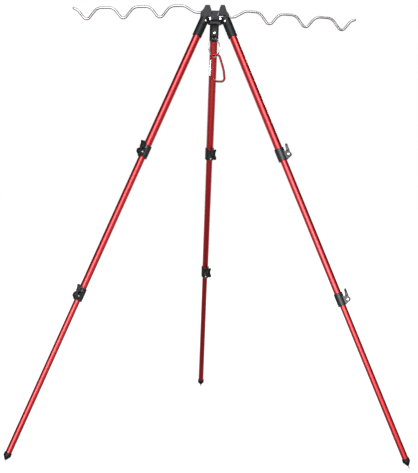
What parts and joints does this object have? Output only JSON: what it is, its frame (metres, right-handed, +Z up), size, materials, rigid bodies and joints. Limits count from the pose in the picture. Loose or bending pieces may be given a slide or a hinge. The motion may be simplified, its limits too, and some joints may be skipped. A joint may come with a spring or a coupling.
{
  "type": "surf rod tripod",
  "caption": "Telescopic tripod with a moulded head, folding wavy wire rod rests, lever clamps, spiked feet and a hanging ring with a snap hook.",
  "frame": {"origin": "on the ground, in the middle of the footprint's box", "axes": "+Z up, +Y to the back leg, +X along the right rod rest"},
  "size_m": [1.2248, 1.0638, 1.419],
  "materials": {
    "red_tube": "red anodised aluminium tube",
    "black_moulding": "black glass-filled nylon",
    "pin_steel": "bright steel pins and rivets",
    "rod_wire": "polished stainless wire",
    "ring_steel": "bright steel ring",
    "hook_red": "red anodised snap hook",
    "gate_silver": "plain bright gate",
    "brake_pad": "hard rubber pad",
    "bush_plastic": "black acetal bush",
    "spike_steel": "plain steel spike"
  },
  "bodies": {
    "head": {"head_hub": "black_moulding", "leg_pivot_pins": "pin_steel", "head_pins": "pin_steel", "hanger_link": "black_moulding"},
    "left_arm": {"left_arm_block": "black_moulding", "left_rod_rest": "rod_wire"},
    "right_arm": {"right_arm_block": "black_moulding", "right_rod_rest": "rod_wire"},
    "left_upper_leg": {"left_leg_socket": "black_moulding", "left_upper_tube": "red_tube", "left_upper_leg_pins": "pin_steel", "left_upper_collar": "black_moulding", "left_upper_clamp_pad": "brake_pad"},
    "left_middle_leg": {"left_middle_tube": "red_tube", "left_middle_bush": "bush_plastic", "left_lower_collar": "black_moulding", "left_lower_clamp_pin": "pin_steel", "left_lower_clamp_pad": "brake_pad"},
    "left_lower_leg": {"left_lower_tube": "red_tube", "left_lower_bush": "bush_plastic", "left_foot_cap": "black_moulding", "left_foot_spike": "spike_steel"},
    "left_upper_cam": {"left_upper_lever": "black_moulding"},
    "left_lower_cam": {"left_lower_lever": "black_moulding"},
    "right_upper_leg": {"right_leg_socket": "black_moulding", "right_upper_tube": "red_tube", "right_upper_leg_pins": "pin_steel", "right_upper_collar": "black_moulding", "right_upper_clamp_pad": "brake_pad"},
    "right_middle_leg": {"right_middle_tube": "red_tube", "right_middle_bush": "bush_plastic", "right_lower_collar": "black_moulding", "right_lower_clamp_pin": "pin_steel", "right_lower_clamp_pad": "brake_pad"},
    "right_lower_leg": {"right_lower_tube": "red_tube", "right_lower_bush": "bush_plastic", "right_foot_cap": "black_moulding", "right_foot_spike": "spike_steel"},
    "right_upper_cam": {"right_upper_lever": "black_moulding"},
    "right_lower_cam": {"right_lower_lever": "black_moulding"},
    "back_upper_leg": {"back_leg_socket": "black_moulding", "back_upper_tube": "red_tube", "back_upper_leg_pins": "pin_steel", "back_upper_collar": "black_moulding", "back_upper_clamp_pad": "brake_pad"},
    "back_middle_leg": {"back_middle_tube": "red_tube", "back_middle_bush": "bush_plastic", "back_lower_collar": "black_moulding", "back_lower_clamp_pin": "pin_steel", "back_lower_clamp_pad": "brake_pad"},
    "back_lower_leg": {"back_lower_tube": "red_tube", "back_lower_bush": "bush_plastic", "back_foot_cap": "black_moulding", "back_foot_spike": "spike_steel"},
    "back_upper_cam": {"back_upper_lever": "black_moulding"},
    "back_lower_cam": {"back_lower_lever": "black_moulding"},
    "ring": {"hanging_ring": "ring_steel"},
    "hook": {"carabiner_body": "hook_red", "carabiner_gate_pin": "pin_steel"},
    "gate": {"carabiner_gate": "gate_silver"}
  },
  "joints": [
    {"name": "left_arm_fold", "type": "hinge", "parent": "head", "child": "left_arm", "pos_m": [-0.0165, -0.16879, 1.37311], "axis": [0, -1, 0], "range_deg": [0, 87]},
    {"name": "right_arm_fold", "type": "hinge", "parent": "head", "child": "right_arm", "pos_m": [0.0183, -0.16879, 1.37401], "axis": [0, 1, 0], "range_deg": [0, 87]},
    {"name": "left_leg_fold", "type": "hinge", "parent": "head", "child": "left_upper_leg", "pos_m": [-0.03689, -0.19459, 1.36381], "axis": [0.5, -0.866, 0], "range_deg": [0, 25.9]},
    {"name": "left_middle_slide", "type": "slide", "parent": "left_upper_leg", "child": "left_middle_leg", "axis": [0.3783, 0.2184, 0.8996], "range_m": [0, 0.37]},
    {"name": "left_lower_slide", "type": "slide", "parent": "left_middle_leg", "child": "left_lower_leg", "axis": [0.3783, 0.2184, 0.8996], "range_m": [0, 0.47]},
    {"name": "left_upper_lever", "type": "hinge", "parent": "left_upper_leg", "child": "left_upper_cam", "pos_m": [-0.22904, -0.31938, 0.9402], "axis": [0.8225, -0.5251, -0.2184], "range_deg": [0, 115]},
    {"name": "left_lower_lever", "type": "hinge", "parent": "left_middle_leg", "child": "left_lower_cam", "pos_m": [-0.41116, -0.42738, 0.49607], "axis": [0.8838, -0.3743, -0.2808], "range_deg": [0, 115]},
    {"name": "right_leg_fold", "type": "hinge", "parent": "head", "child": "right_upper_leg", "pos_m": [0.03689, -0.19459, 1.36381], "axis": [0.5, 0.866, 0], "range_deg": [0, 25.9]},
    {"name": "right_middle_slide", "type": "slide", "parent": "right_upper_leg", "child": "right_middle_leg", "axis": [-0.3783, 0.2184, 0.8996], "range_m": [0, 0.37]},
    {"name": "right_lower_slide", "type": "slide", "parent": "right_middle_leg", "child": "right_lower_leg", "axis": [-0.3783, 0.2184, 0.8996], "range_m": [0, 0.47]},
    {"name": "right_upper_lever", "type": "hinge", "parent": "right_upper_leg", "child": "right_upper_cam", "pos_m": [0.24001, -0.30469, 0.94125], "axis": [0.2813, 0.9529, -0.1131], "range_deg": [0, 115]},
    {"name": "right_lower_lever", "type": "hinge", "parent": "right_middle_leg", "child": "right_lower_cam", "pos_m": [0.42501, -0.41108, 0.49794], "axis": [0.2504, 0.9597, -0.1277], "range_deg": [0, 115]},
    {"name": "back_leg_fold", "type": "hinge", "parent": "head", "child": "back_upper_leg", "pos_m": [0, -0.13069, 1.36381], "axis": [-1, 0, 0], "range_deg": [0, 25.9]},
    {"name": "back_middle_slide", "type": "slide", "parent": "back_upper_leg", "child": "back_middle_leg", "axis": [0, -0.4368, 0.8996], "range_m": [0, 0.37]},
    {"name": "back_lower_slide", "type": "slide", "parent": "back_middle_leg", "child": "back_lower_leg", "axis": [0, -0.4368, 0.8996], "range_m": [0, 0.47]},
    {"name": "back_upper_lever", "type": "hinge", "parent": "back_upper_leg", "child": "back_upper_cam", "pos_m": [0.012, 0.06071, 0.92204], "axis": [0.866, 0.4498, 0.2184], "range_deg": [0, 115]},
    {"name": "back_lower_lever", "type": "hinge", "parent": "back_middle_leg", "child": "back_lower_cam", "pos_m": [0.01125, 0.27679, 0.48003], "axis": [0.866, 0.4498, 0.2184], "range_deg": [0, 115]},
    {"name": "ring_swing", "type": "hinge", "parent": "head", "child": "ring", "pos_m": [0, -0.15879, 1.31381], "axis": [0, -1, 0], "range_deg": [-25, 25]},
    {"name": "hook_swing", "type": "hinge", "parent": "ring", "child": "hook", "pos_m": [0, -0.15879, 1.25381], "axis": [0, -1, 0], "range_deg": [-25, 25]},
    {"name": "gate_spring", "type": "hinge", "parent": "hook", "child": "gate", "pos_m": [-0.0122, -0.15879, 1.19291], "axis": [0, 1, 0], "range_deg": [0, 25], "stiffness_Nm_per_rad": 0.05}
  ]
}
